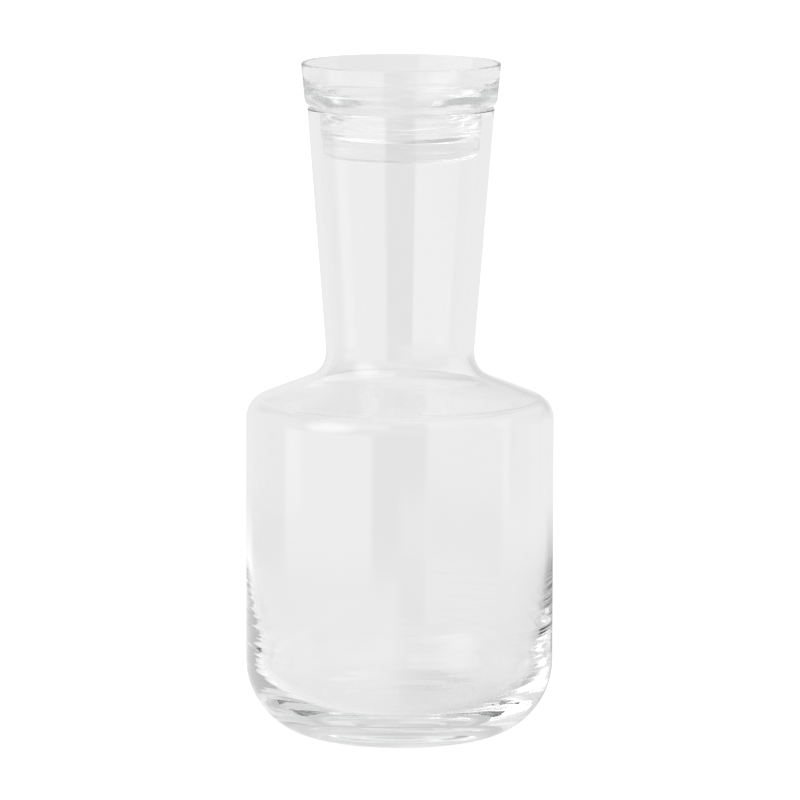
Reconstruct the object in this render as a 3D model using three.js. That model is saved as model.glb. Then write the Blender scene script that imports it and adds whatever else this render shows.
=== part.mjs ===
// A glass carafe closed by a shallow tumbler, whose foot hangs in the neck and whose collar sits on the lip.
// Millimetres, +Z up. The origin is the centre of the base, on the surface that the carafe stands on.
import * as THREE from "three";

// Carafe, outside
const BODY_RADIUS = 52.5;
const BASE_CORNER = 26;
const SHOULDER_HEIGHT = 114.8; // where the lines of the wall and the shoulder meet
const SHOULDER_SLOPE = 21.5; // degrees below level
const SHOULDER_RADIUS = 8;
const NECK_FILLET = 9.5;
const NECK_LEAN = 4.5; // degrees that the neck opens on each side, towards the mouth
const MOUTH_RADIUS = 31.8;
const CARAFE_HEIGHT = 215.4;
const LIP_RADIUS = 0.5;

// Carafe, glass thickness and inside
const BODY_WALL = 1.6;
const SHOULDER_WALL = 1.9;
const NECK_WALL = 2.6;
const FLOOR_THICKNESS = 11;
const FLOOR_CORNER = 17;
const SWELL_HEIGHT = 50; // below this height the wall grows thicker towards the base
const SWELL_LEAN = 6.5; // degrees that the inside of the swelling wall leans in
const SWELL_RADIUS = 225;

// Carafe, hollow under the base, inside the flat ring that the carafe stands on
const PUNT_RADIUS = 19;
const PUNT_CROWN = 8;
const PUNT_DEPTH = 0.7;
const PUNT_ROUNDING = 40;

// Tumbler, outside
const SEAT_GAP = 0.1; // between the carafe's lip and the level of the collar's underside
const COLLAR_OVERHANG = 1.05; // how far the collar reaches past the mouth
const COLLAR_CORNER = 3.6;
const COLLAR_FILLET = 1.6;
const CUP_HEIGHT = 15.2; // from the collar's underside to the rim
const CUP_LEAN = 5.5; // degrees that the cup's wall opens
const FOOT_CLEARANCE = 1.3; // between the foot and the inside of the neck
const FOOT_DEPTH = 16.9; // how far the foot hangs below the collar
const FOOT_CORNER = 4;

// Tumbler, glass thickness and inside
const RIM_WALL = 1.4;
const RIM_RADIUS = 0.6;
const FUNNEL_WALL = 2.3; // glass above the underside, measured where the foot begins
const FUNNEL_RISE = 55; // degrees, between the wide bowl and the narrow throat
const BOWL_RADIUS = 12;
const THROAT_RADIUS = 10;
const FOOT_WALL = 3.8;
const CUP_FLOOR = 6.6;
const CUP_FLOOR_CORNER = 4;

// Fineness of the turned surfaces
const SEGMENTS = 48;
const CHORD_ERROR = 0.1;
const WIDEST_STEP = THREE.MathUtils.degToRad(15);

const GLASS_COLOUR = 0xe4e9e8;

const tangent = (degrees) => Math.tan(THREE.MathUtils.degToRad(degrees));
const cosine = (degrees) => Math.cos(THREE.MathUtils.degToRad(degrees));
const corner = (radius, height, rounding = 0) => ({ at: new THREE.Vector2(radius, height), rounding });

// The arc that rounds a corner, which reaches the same way along the line before it and the line after it.
function roundedCorner(before, at, after, reach) {
  const arriving = at.clone().sub(before).normalize();
  const leaving = after.clone().sub(at).normalize();
  const turn = Math.atan2(arriving.cross(leaving), arriving.dot(leaving));
  const radius = reach / Math.tan(Math.abs(turn) / 2);
  const start = at.clone().addScaledVector(arriving, -reach);
  const side = Math.sign(turn);
  const centre = new THREE.Vector2(-arriving.y, arriving.x).multiplyScalar(side * radius).add(start);
  const step = Math.min(WIDEST_STEP, 2 * Math.acos(1 - CHORD_ERROR / Math.max(radius, CHORD_ERROR)));
  const steps = Math.ceil(Math.abs(turn) / step);
  const along = (i) => start.clone().rotateAround(centre, (turn * i) / steps);
  return Array.from({ length: steps + 1 }, (_, i) => along(i));
}

// How far a corner's rounding reaches along the two lines that meet there.
function reachOf(before, { at, rounding }, after) {
  const arriving = at.clone().sub(before.at).normalize();
  const leaving = after.at.clone().sub(at).normalize();
  return rounding * Math.tan(Math.acos(arriving.dot(leaving)) / 2);
}

// An outline of straight lines with rounded corners. Roundings that would meet on a line share its length.
function roundedOutline(corners) {
  const last = corners.length - 1;
  const reaches = corners.map((here, i) =>
    i === 0 || i === last ? 0 : reachOf(corners[i - 1], here, corners[i + 1]),
  );
  const shares = corners.slice(1).map((here, i) => {
    const line = here.at.distanceTo(corners[i].at);
    return Math.min(1, line / Math.max(reaches[i] + reaches[i + 1], line));
  });
  return corners.flatMap((here, i) => {
    if (reaches[i] === 0) {
      return [here.at];
    }
    const reach = reaches[i] * Math.min(shares[i - 1], shares[i]);
    return roundedCorner(corners[i - 1].at, here.at, corners[i + 1].at, reach);
  });
}

// A glass piece turned about the Z axis from its outline of radius and height.
function turnedGlass(name, outline) {
  const geometry = new THREE.LatheGeometry(outline, SEGMENTS);
  geometry.rotateX(Math.PI / 2);
  const material = new THREE.MeshStandardMaterial({
    color: GLASS_COLOUR,
    roughness: 0.03,
    metalness: 0,
    transparent: true,
    opacity: 0.35,
  });
  const mesh = new THREE.Mesh(geometry, material);
  mesh.name = name;
  return mesh;
}

// The radius of a neck line at a height, for the radius that the line has at the top of the carafe.
const neckRadius = (topRadius, height) => topRadius - (CARAFE_HEIGHT - height) * tangent(NECK_LEAN);

// Where a neck line meets a shoulder line, which is given by its height at the body's radius.
function neckFoot(topRadius, shoulderHeight, rounding) {
  const lean = tangent(NECK_LEAN);
  const slope = tangent(SHOULDER_SLOPE);
  const atShoulder = neckRadius(topRadius, shoulderHeight + BODY_RADIUS * slope);
  const radius = atShoulder / (1 + slope * lean);
  return corner(radius, shoulderHeight + (BODY_RADIUS - radius) * slope, rounding);
}

const boreRadius = MOUTH_RADIUS - NECK_WALL / cosine(NECK_LEAN);

function carafe() {
  const insideRadius = BODY_RADIUS - BODY_WALL;
  const insideShoulder = SHOULDER_HEIGHT - SHOULDER_WALL / cosine(SHOULDER_SLOPE);
  const shoulderInsideWall = insideShoulder + BODY_WALL * tangent(SHOULDER_SLOPE);
  const heelRadius = insideRadius - (SWELL_HEIGHT - FLOOR_THICKNESS) * tangent(SWELL_LEAN);
  return turnedGlass("carafe", roundedOutline([
    corner(0, PUNT_DEPTH),
    corner(PUNT_CROWN, PUNT_DEPTH, PUNT_ROUNDING),
    corner(PUNT_RADIUS, 0, PUNT_ROUNDING),
    corner(BODY_RADIUS, 0, BASE_CORNER),
    corner(BODY_RADIUS, SHOULDER_HEIGHT, SHOULDER_RADIUS),
    neckFoot(MOUTH_RADIUS, SHOULDER_HEIGHT, NECK_FILLET),
    corner(MOUTH_RADIUS, CARAFE_HEIGHT, LIP_RADIUS),
    corner(boreRadius, CARAFE_HEIGHT, LIP_RADIUS),
    neckFoot(boreRadius, insideShoulder, NECK_FILLET + NECK_WALL),
    corner(insideRadius, shoulderInsideWall, SHOULDER_RADIUS - BODY_WALL),
    corner(insideRadius, SWELL_HEIGHT, SWELL_RADIUS),
    corner(heelRadius, FLOOR_THICKNESS, FLOOR_CORNER),
    corner(0, FLOOR_THICKNESS),
  ]));
}

function tumbler() {
  const underside = CARAFE_HEIGHT + SEAT_GAP;
  const foot = underside - FOOT_DEPTH;
  const rim = underside + CUP_HEIGHT;
  const cupFloor = foot + CUP_FLOOR;
  const footRadius = (height) => neckRadius(boreRadius, height) - FOOT_CLEARANCE;
  const collarRadius = MOUTH_RADIUS + COLLAR_OVERHANG;
  const cupRadius = (height) => collarRadius + (height - underside - COLLAR_CORNER) * tangent(CUP_LEAN);
  const rimInside = cupRadius(rim) - RIM_WALL;
  const throatRadius = (height) => footRadius(height) - FOOT_WALL;
  const funnelHeight = (radius) =>
    underside + FUNNEL_WALL + (radius - footRadius(underside)) * tangent(FUNNEL_RISE);
  const bowlHeight = funnelHeight(collarRadius - RIM_WALL);
  const throatHeight = funnelHeight(throatRadius(underside));
  return turnedGlass("tumbler", roundedOutline([
    corner(0, foot),
    corner(footRadius(foot), foot, FOOT_CORNER),
    corner(footRadius(underside), underside, COLLAR_FILLET),
    corner(cupRadius(underside), underside, COLLAR_CORNER),
    corner(cupRadius(rim), rim, RIM_RADIUS),
    corner(rimInside, rim, RIM_RADIUS),
    corner(cupRadius(bowlHeight) - RIM_WALL, bowlHeight, BOWL_RADIUS),
    corner(throatRadius(throatHeight), throatHeight, THROAT_RADIUS),
    corner(throatRadius(cupFloor), cupFloor, CUP_FLOOR_CORNER),
    corner(0, cupFloor),
  ]));
}

const carafeWithTumbler = new THREE.Group();
carafeWithTumbler.add(carafe(), tumbler());

export default carafeWithTumbler;
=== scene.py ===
"""A clear glass carafe closed by its glass tumbler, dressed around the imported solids. Metres, +Z up."""
import math
from collections import namedtuple

import bpy
import numpy as np
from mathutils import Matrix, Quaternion, Vector

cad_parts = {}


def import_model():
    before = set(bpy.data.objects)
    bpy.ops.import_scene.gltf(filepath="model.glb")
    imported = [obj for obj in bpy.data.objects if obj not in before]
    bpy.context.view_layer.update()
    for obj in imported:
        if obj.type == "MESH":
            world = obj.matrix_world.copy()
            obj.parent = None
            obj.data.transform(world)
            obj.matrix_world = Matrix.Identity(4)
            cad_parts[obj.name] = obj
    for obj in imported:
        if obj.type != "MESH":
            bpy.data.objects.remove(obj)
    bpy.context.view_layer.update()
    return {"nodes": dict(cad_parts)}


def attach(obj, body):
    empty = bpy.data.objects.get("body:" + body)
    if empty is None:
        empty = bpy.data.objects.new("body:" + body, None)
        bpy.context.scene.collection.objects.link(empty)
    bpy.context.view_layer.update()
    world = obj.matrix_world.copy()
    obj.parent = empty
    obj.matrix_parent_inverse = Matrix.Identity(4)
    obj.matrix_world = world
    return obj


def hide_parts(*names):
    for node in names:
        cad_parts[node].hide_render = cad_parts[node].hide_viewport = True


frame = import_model()

# The photograph's camera
PHOTO_PIXELS = 800
METRES_PER_PIXEL = 0.00034114  # at the object
CAMERA_DISTANCE = 2.4
CAMERA_ELEVATION = math.radians(7.8)
CAMERA_ROLL = math.radians(0.197)
AIM_HEIGHT = 0.1152
SENSOR_WIDTH = 36.0  # millimetres

# Fineness of the turned glass
SEGMENTS = 192  # steps round the axis
NEAR = 1e-6  # the unit that points are rounded to before they are compared
STRAIGHT = 1e-4  # radians of bend below which a chord is a straight line
SAME_LENGTH = 0.02  # the share by which the chords of one arc may differ
CURVE_STEP = math.radians(2.5)  # the most that an arc turns in one step
SHORT_STEP = 0.0001  # tight arcs are not cut much finer than this
LINE_STEP = 0.004  # the longest step where there are no waves

# Slight waves on the inside of the glass. A form is a wave's length along the outline and its turns round
# the axis. The waves fade out towards a top and an inner radius. The outline has short steps where they are.
Waves = namedtuple("Waves", "forms steepness top inner_radius fade step")
BLOWN_WAVES = Waves(
    forms=((0.0012, 2), (0.0019, -1), (0.0031, 1), (0.0053, -2)),
    steepness=0.03,
    top=0.057,
    inner_radius=0.04,
    fade=0.02,
    step=0.0003,
)
PRESSED_WAVES = Waves(
    forms=((0.017, 2), (0.023, -3), (0.031, 4)),
    steepness=0.005,
    top=0.228,
    inner_radius=0.0,
    fade=0.004,
    step=0.001,
)

# Glass
GLASS_IOR = 1.5
GLASS_TINT = (0.42, 0.45, 0.44, 1.0)
BLOWN_DENSITY = 1.2
PRESSED_DENSITY = 2.4
POLISH_SCALE = 40.0
POLISH = (0.0, 0.008)  # least and most roughness
GRAIN_SCALE = 250.0
GRAIN_DEPTH = 0.000001

# Studio. Strengths are radiances, and 1 is white. Angles are in degrees: azimuth 0 is the camera's side, and
# 90 is on its right. A panel is the pair of azimuths that it lies between. A level is an elevation at which
# the light changes, with the softness of the change.
WHITE = 1.0
PURE_WHITE = (1.0, 1.0, 1.0, 1.0)
BACKDROP = 0.825  # what shows through the glass
SIDE_LIGHT = 0.82  # between the panels
PANEL_SOFT = 3.0

LEFT_PANEL = (-96.0, -21.0)
LEFT_PANEL_LIGHT = 1.4
LEFT_HIGH_LEVEL = (7.0, 4.0)
LEFT_HIGH_LIGHT = 0.8

CAMERA_PANEL = (-20.0, 20.0)
CAMERA_LIGHT = 0.75
CAMERA_LOW_LEVEL = (5.0, 3.0)
CAMERA_LOW_LIGHT = 0.46

RIGHT_PANEL = (20.0, 84.0)
RIGHT_PANEL_LIGHT = 0.48
RIGHT_LOW_LEVEL = (-13.0, 2.0)
RIGHT_LOW_LIGHT = 0.86

LEFT_BACK = (-181.0, -118.0)
LEFT_BACK_LIGHT = 0.85

RIGHT_BACK = (118.0, 181.0)
RIGHT_BACK_LIGHT = 0.84
RIGHT_BACK_LOW_LEVEL = (-15.0, 2.0)
RIGHT_BACK_LOW_LIGHT = 1.25
RIGHT_BACK_HIGH_LEVEL = (4.0, 4.0)
RIGHT_BACK_HIGH_LIGHT = 0.7

CEILING_LEVEL = (38.0, 5.0)
CEILING_LIGHT = 0.71
CEILING_PANEL = (-90.0, -10.0)
CEILING_PANEL_LIGHT = 1.5
OVERHEAD_LEVEL = (60.0, 5.0)
OVERHEAD_LIGHT = 0.97

LAMP_DIRECTION = (-60.0, 29.0)  # azimuth and elevation
LAMP_SPREAD = 26.0
LAMP_LIGHT = 1.6

# Floor. The part near the object is a table that the glass mirrors. Its glow is painted light, brighter on
# the left and darker on the right, with painted shade under the base and a painted contact shadow ring.
FLOOR_SIZE = 12.0
FLOOR_COLOUR = (0.3, 0.3, 0.3, 1.0)
FLOOR_GLOW = 0.9
TABLE_RADIUS = 0.44
TABLE_SOFT = 0.13
# Painted light on the table: its glow is brighter on the left half and darker on the right half.
TABLE_LEFT_PAINTED_LIGHT = 1.04
TABLE_RIGHT_PAINTED_SHADE = 0.48
TABLE_MIDDLE_SOFT = 0.03
# Painted shade under the base: the floor glows darker within this radius, through the glass and in a
# reflection.
BASE_SHADE_RADIUS = 0.045
BASE_SHADE_SOFT = 0.02
PAINTED_UNDER_BASE_SHADE = 0.78
# A painted contact shadow: a darker ring on the mirrored table where the base sits.
CONTACT_SHADOW_RING = (0.022, 0.027)
CONTACT_SHADOW_SOFT = 0.002
PAINTED_CONTACT_SHADOW = 0.62

LIGHT_BOUNCES = 128  # light that is trapped in thick glass takes many to leave it


def node(tree, kind, inputs=None, **settings):
    """Adds a shader node. An input is set to a number or colour, or linked to another node's output."""
    made = tree.nodes.new(kind)
    for name, value in settings.items():
        setattr(made, name, value)
    for name, value in (inputs or {}).items():
        if isinstance(value, bpy.types.NodeSocket):
            tree.links.new(value, made.inputs[name])
        else:
            made.inputs[name].default_value = value
    return made


def blend_value(tree, share, low, high):
    """A number that goes from low to high as share goes from 0 to 1."""
    return node(tree, "ShaderNodeMix", {"Factor": share, "A": low, "B": high}).outputs["Result"]


def math_value(tree, operation, first, second=0.0):
    """The result of one sum on two numbers."""
    return node(tree, "ShaderNodeMath", {0: first, 1: second}, operation=operation).outputs["Value"]


def soft_step(tree, value, edge, soft):
    """0 below an edge and 1 above it, with a soft change between."""
    limits = {"Value": value, "From Min": edge - soft, "From Max": edge + soft}
    return node(tree, "ShaderNodeMapRange", limits, interpolation_type="SMOOTHSTEP").outputs["Result"]


def between(tree, value, edges, soft):
    """1 between two edges and 0 outside them."""
    low, high = edges
    return math_value(tree, "SUBTRACT", soft_step(tree, value, low, soft), soft_step(tree, value, high, soft))


def mirrored(tree, path):
    """1 on a light path that has met a mirroring surface, and 0 on any other."""
    return math_value(tree, "MINIMUM", path["Glossy Depth"], 1.0)


def direction_of(azimuth, elevation):
    """The direction of a place in the studio, from its azimuth and elevation in degrees."""
    turn, rise = math.radians(azimuth), math.radians(elevation)
    return Vector((math.cos(rise) * math.sin(turn), -math.cos(rise) * math.cos(turn), math.sin(rise)))


def outline_of(name):
    """A CAD node's outline as radii and heights, from the middle of the underside to that of the inside."""
    mesh = frame["nodes"][name].data
    place = np.empty(len(mesh.vertices) * 3)
    mesh.vertices.foreach_get("co", place)
    place = place.reshape(-1, 3)
    ends = np.empty(len(mesh.edges) * 2, int)
    mesh.edges.foreach_get("vertices", ends)
    on_plane = (np.abs(place[:, 1]) < NEAR) & (place[:, 0] > -NEAR)
    points = [tuple(p) for p in np.round(place[:, [0, 2]] / NEAR).astype(int)]
    neighbours = {}
    for a, b in ends.reshape(-1, 2):
        if on_plane[a] and on_plane[b] and points[a] != points[b] and points[a][0] + points[b][0] > 0:
            neighbours.setdefault(points[a], set()).add(points[b])
            neighbours.setdefault(points[b], set()).add(points[a])
    here = min((p for p in neighbours if p[0] == 0), key=lambda p: p[1])
    path = [here]
    while len(path) == 1 or here[0] > 0:
        here = next(p for p in neighbours[here] if p not in path[-2:])
        path.append(here)
    return np.array(path) * NEAR


def smooth(outline, waves):
    """The outline with its round stretches as true arcs, and short steps where the inside has waves."""
    top = np.argmax(outline[:, 1])
    chords = np.diff(outline, axis=0)
    lengths = np.hypot(chords[:, 0], chords[:, 1])
    headings = np.unwrap(np.arctan2(chords[:, 1], chords[:, 0]))
    curve = []
    bend = 0.0  # half the turn of the arc over a chord
    for i, (start, length, heading) in enumerate(zip(outline, lengths, headings)):
        if i > 0:
            turn = heading - headings[i - 1]
            same_arc = abs(length - lengths[i - 1]) < SAME_LENGTH * length
            bend = turn / 2 if same_arc else turn - bend
        wavy = i >= top and outline[i + 1][1] < waves.top and start[0] > waves.inner_radius
        longest = waves.step if wavy else LINE_STEP
        turns = min(math.ceil(2 * abs(bend) / CURVE_STEP), math.ceil(length / SHORT_STEP))
        steps = max(turns, math.ceil(length / longest))
        for t in np.arange(steps) / steps:
            along = t if abs(bend) < STRAIGHT else math.sin(bend * t) / math.sin(bend)
            way = heading + bend * (t - 1)
            curve.append(start + length * along * np.array((math.cos(way), math.sin(way))))
    curve.append(outline[-1])
    return np.array(curve)


def ripples(outline, angles, waves):
    """How far the waves move each point of the turned outline, on the inside and within the waves' bounds."""
    steps = np.diff(outline, axis=0)
    along = np.concatenate(([0.0], np.cumsum(np.hypot(steps[:, 0], steps[:, 1]))))
    moved = np.zeros((len(outline), len(angles)))
    for phase, (length, turns) in enumerate(waves.forms):
        pitch = length / (2 * math.pi)
        moved += waves.steepness * pitch * np.sin(along[:, None] / pitch + turns * angles + phase)
    radius, height = outline.T
    inside = np.arange(len(outline)) > np.argmax(height)
    below_top = np.clip((waves.top - height) / waves.fade, 0.0, 1.0)
    off_axis = np.clip((radius - waves.inner_radius) / waves.fade, 0.0, 1.0)
    return moved * (inside * below_top * off_axis)[:, None]


def turned(name, outline, waves):
    """A closed mesh turned about the Z axis from an outline that starts and ends on the axis."""
    angles = np.arange(SEGMENTS) * 2 * math.pi / SEGMENTS
    moved = ripples(outline, angles, waves)[1:-1]
    along = outline[2:] - outline[:-2]
    out = np.column_stack((along[:, 1], -along[:, 0])) / np.hypot(along[:, 0], along[:, 1])[:, None]
    rings = outline[1:-1]
    radius = rings[:, 0, None] + moved * out[:, 0, None]
    height = rings[:, 1, None] + moved * out[:, 1, None]
    places = np.stack((radius * np.cos(angles), radius * np.sin(angles), height), axis=-1).reshape(-1, 3)
    vertices = [(0.0, 0.0, outline[0][1]), *places.tolist(), (0.0, 0.0, outline[-1][1])]
    last_vertex = len(vertices) - 1
    last_ring = len(rings) - 1

    def at(ring, i):
        """The number of a ring's vertex, counted round the axis."""
        return 1 + ring * SEGMENTS + i % SEGMENTS

    faces = []
    for i in range(SEGMENTS):
        faces.append((0, at(0, i + 1), at(0, i)))
        faces.append((last_vertex, at(last_ring, i), at(last_ring, i + 1)))
        for ring in range(last_ring):
            faces.append((at(ring, i), at(ring, i + 1), at(ring + 1, i + 1), at(ring + 1, i)))
    mesh = bpy.data.meshes.new(name)
    mesh.from_pydata(vertices, [], faces)
    mesh.polygons.foreach_set("use_smooth", [True] * len(mesh.polygons))
    mesh.update()
    piece = bpy.data.objects.new(name, mesh)
    bpy.context.scene.collection.objects.link(piece)
    return piece


def glass(name, density):
    """Clear, almost colourless glass whose polish varies a little from place to place."""
    material = bpy.data.materials.new(name)
    material.use_nodes = True
    tree = material.node_tree
    shader = tree.nodes["Principled BSDF"]
    shader.inputs["Base Color"].default_value = PURE_WHITE
    shader.inputs["IOR"].default_value = GLASS_IOR
    shader.inputs["Transmission Weight"].default_value = 1.0
    place = node(tree, "ShaderNodeTexCoord").outputs["Object"]
    polish = node(tree, "ShaderNodeTexNoise", {"Vector": place, "Scale": POLISH_SCALE}).outputs["Fac"]
    least, most = POLISH
    roughness = node(tree, "ShaderNodeMapRange", {"Value": polish, "To Min": least, "To Max": most})
    tree.links.new(roughness.outputs["Result"], shader.inputs["Roughness"])
    grain = node(tree, "ShaderNodeTexNoise", {"Vector": place, "Scale": GRAIN_SCALE}).outputs["Fac"]
    bump = node(tree, "ShaderNodeBump", {"Height": grain, "Distance": GRAIN_DEPTH})
    tree.links.new(bump.outputs["Normal"], shader.inputs["Normal"])
    inside = node(tree, "ShaderNodeVolumeAbsorption", {"Color": GLASS_TINT, "Density": density})
    tree.links.new(inside.outputs["Volume"], tree.nodes["Material Output"].inputs["Volume"])
    return material


def glass_piece(name, cad_node, body, material, waves):
    """A CAD node's glass with its waves, which rides the node's body and takes its place."""
    piece = turned(name, smooth(outline_of(cad_node), waves), waves)
    piece.data.materials.append(material)
    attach(piece, body)
    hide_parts(cad_node)


def carafe():
    """The blown carafe."""
    material = glass("blown_glass", BLOWN_DENSITY)
    glass_piece("carafe_glass", "carafe", "carafe", material, BLOWN_WAVES)


def tumbler():
    """The pressed tumbler."""
    material = glass("pressed_glass", PRESSED_DENSITY)
    glass_piece("tumbler_glass", "tumbler", "tumbler", material, PRESSED_WAVES)


def camera():
    """The photograph's viewpoint."""
    data = bpy.data.cameras.new("camera")
    data.sensor_width = SENSOR_WIDTH
    data.lens = SENSOR_WIDTH * CAMERA_DISTANCE / (PHOTO_PIXELS * METRES_PER_PIXEL)
    made = bpy.data.objects.new("camera", data)
    bpy.context.scene.collection.objects.link(made)
    back = Vector((0.0, -math.cos(CAMERA_ELEVATION), math.sin(CAMERA_ELEVATION)))
    made.location = Vector((0.0, 0.0, AIM_HEIGHT)) + back * CAMERA_DISTANCE
    made.rotation_mode = "QUATERNION"
    roll = Quaternion((0.0, 0.0, 1.0), CAMERA_ROLL)
    made.rotation_quaternion = (-back).to_track_quat("-Z", "Y") @ roll
    bpy.context.scene.camera = made


def lamp_light(tree, direction):
    """A round lamp, brightest in its middle."""
    middle = direction_of(*LAMP_DIRECTION)
    nearness = node(tree, "ShaderNodeVectorMath", {0: direction, 1: middle}, operation="DOT_PRODUCT")
    limits = {
        "Value": nearness.outputs["Value"],
        "From Min": math.cos(math.radians(LAMP_SPREAD)),
        "To Max": LAMP_LIGHT,
    }
    return node(tree, "ShaderNodeMapRange", limits, interpolation_type="SMOOTHSTEP").outputs["Result"]


def studio_light(tree, direction):
    """What a reflection shows: panels round the object, a ceiling over it, and a lamp."""
    axes = node(tree, "ShaderNodeSeparateXYZ", {"Vector": direction}).outputs
    towards_camera = math_value(tree, "MULTIPLY", axes["Y"], -1.0)
    azimuth = math_value(tree, "DEGREES", math_value(tree, "ARCTAN2", axes["X"], towards_camera))
    elevation = math_value(tree, "DEGREES", math_value(tree, "ARCSINE", axes["Z"]))

    def split(level, below, above):
        """One light below a level and another above it."""
        return blend_value(tree, soft_step(tree, elevation, *level), below, above)

    def panel(around, edges, strength):
        """The light around, with a panel in it."""
        return blend_value(tree, between(tree, azimuth, edges, PANEL_SOFT), around, strength)

    right_back = split(RIGHT_BACK_LOW_LEVEL, RIGHT_BACK_LOW_LIGHT, RIGHT_BACK_LIGHT)
    right_back = split(RIGHT_BACK_HIGH_LEVEL, right_back, RIGHT_BACK_HIGH_LIGHT)
    light = panel(SIDE_LIGHT, LEFT_BACK, LEFT_BACK_LIGHT)
    light = panel(light, LEFT_PANEL, split(LEFT_HIGH_LEVEL, LEFT_PANEL_LIGHT, LEFT_HIGH_LIGHT))
    light = panel(light, CAMERA_PANEL, split(CAMERA_LOW_LEVEL, CAMERA_LOW_LIGHT, CAMERA_LIGHT))
    light = panel(light, RIGHT_PANEL, split(RIGHT_LOW_LEVEL, RIGHT_LOW_LIGHT, RIGHT_PANEL_LIGHT))
    light = panel(light, RIGHT_BACK, right_back)
    light = split(CEILING_LEVEL, light, panel(CEILING_LIGHT, CEILING_PANEL, CEILING_PANEL_LIGHT))
    light = split(OVERHEAD_LEVEL, light, OVERHEAD_LIGHT)
    return math_value(tree, "ADD", light, lamp_light(tree, direction))


def world():
    """White for the camera, a pale backdrop through the glass, and the studio in its reflections."""
    made = bpy.data.worlds.new("studio")
    bpy.context.scene.world = made
    made.use_nodes = True
    tree = made.node_tree
    tree.nodes.clear()
    path = node(tree, "ShaderNodeLightPath").outputs
    direction = node(tree, "ShaderNodeTexCoord").outputs["Generated"]
    around = blend_value(tree, mirrored(tree, path), BACKDROP, studio_light(tree, direction))
    strength = blend_value(tree, path["Is Camera Ray"], around, WHITE)
    background = node(tree, "ShaderNodeBackground", {"Color": PURE_WHITE, "Strength": strength})
    output = node(tree, "ShaderNodeOutputWorld")
    tree.links.new(background.outputs["Background"], output.inputs["Surface"])


def emission(tree, strength):
    """A white glow."""
    return node(tree, "ShaderNodeEmission", {"Strength": strength}).outputs["Emission"]


def mix_shaders(tree, share, low, high):
    """A shader that goes from low to high as share goes from 0 to 1."""
    return node(tree, "ShaderNodeMixShader", {0: share, 1: low, 2: high}).outputs["Shader"]


def floor_material():
    """Pale, with the object's shadow. It is the backdrop through the glass, with painted shade under the
    base, and in a reflection the table, whose glow is painted light and shade with a painted contact shadow
    ring.
    """
    material = bpy.data.materials.new("pale_floor")
    material.use_nodes = True
    tree = material.node_tree
    tree.nodes.clear()
    path = node(tree, "ShaderNodeLightPath").outputs
    place = node(tree, "ShaderNodeTexCoord").outputs["Object"]
    across = node(tree, "ShaderNodeSeparateXYZ", {"Vector": place}).outputs["X"]
    reach = node(tree, "ShaderNodeVectorMath", {0: place}, operation="LENGTH").outputs["Value"]
    # Painted shade: the floor is darker within the base's radius.
    past_base_shade = soft_step(tree, reach, BASE_SHADE_RADIUS, BASE_SHADE_SOFT)
    past_table = soft_step(tree, reach, TABLE_RADIUS, TABLE_SOFT)

    matt = node(tree, "ShaderNodeBsdfDiffuse", {"Color": FLOOR_COLOUR}).outputs["BSDF"]
    lit = node(tree, "ShaderNodeAddShader", {0: matt, 1: emission(tree, FLOOR_GLOW)}).outputs["Shader"]
    # Through the glass the floor glows as the backdrop, with painted shade under the base.
    through_with_painted_shade = emission(tree, blend_value(tree, past_base_shade, PAINTED_UNDER_BASE_SHADE, BACKDROP))

    # Painted light and shade on the mirrored table: brighter on the left, darker on the right.
    on_right = soft_step(tree, across, 0.0, TABLE_MIDDLE_SOFT)
    painted_table_shading = blend_value(tree, on_right, TABLE_LEFT_PAINTED_LIGHT, TABLE_RIGHT_PAINTED_SHADE)
    # Painted shade under the base on the mirrored table.
    painted_table_shading = blend_value(tree, past_base_shade, PAINTED_UNDER_BASE_SHADE, painted_table_shading)
    # A painted contact shadow ring on the mirrored table.
    painted_table_shading = blend_value(tree, between(tree, reach, CONTACT_SHADOW_RING, CONTACT_SHADOW_SOFT), painted_table_shading, PAINTED_CONTACT_SHADOW)
    clear = node(tree, "ShaderNodeBsdfTransparent").outputs["BSDF"]
    in_mirror = mix_shaders(tree, past_table, emission(tree, painted_table_shading), clear)

    direct = mix_shaders(tree, path["Is Transmission Ray"], lit, through_with_painted_shade)
    surface = mix_shaders(tree, mirrored(tree, path), direct, in_mirror)
    output = node(tree, "ShaderNodeOutputMaterial")
    tree.links.new(surface, output.inputs["Surface"])
    return material


def floor():
    """The floor that the object stands on."""
    mesh = bpy.data.meshes.new("floor")
    half = FLOOR_SIZE / 2
    corners = [(-half, -half, 0.0), (half, -half, 0.0), (half, half, 0.0), (-half, half, 0.0)]
    mesh.from_pydata(corners, [], [(0, 1, 2, 3)])
    mesh.materials.append(floor_material())
    made = bpy.data.objects.new("floor", mesh)
    bpy.context.scene.collection.objects.link(made)


camera()
carafe()
tumbler()
world()
floor()

scene = bpy.context.scene
scene.view_settings.view_transform = "Standard"
scene.cycles.max_bounces = LIGHT_BOUNCES
scene.cycles.transmission_bounces = LIGHT_BOUNCES
scene.cycles.glossy_bounces = LIGHT_BOUNCES
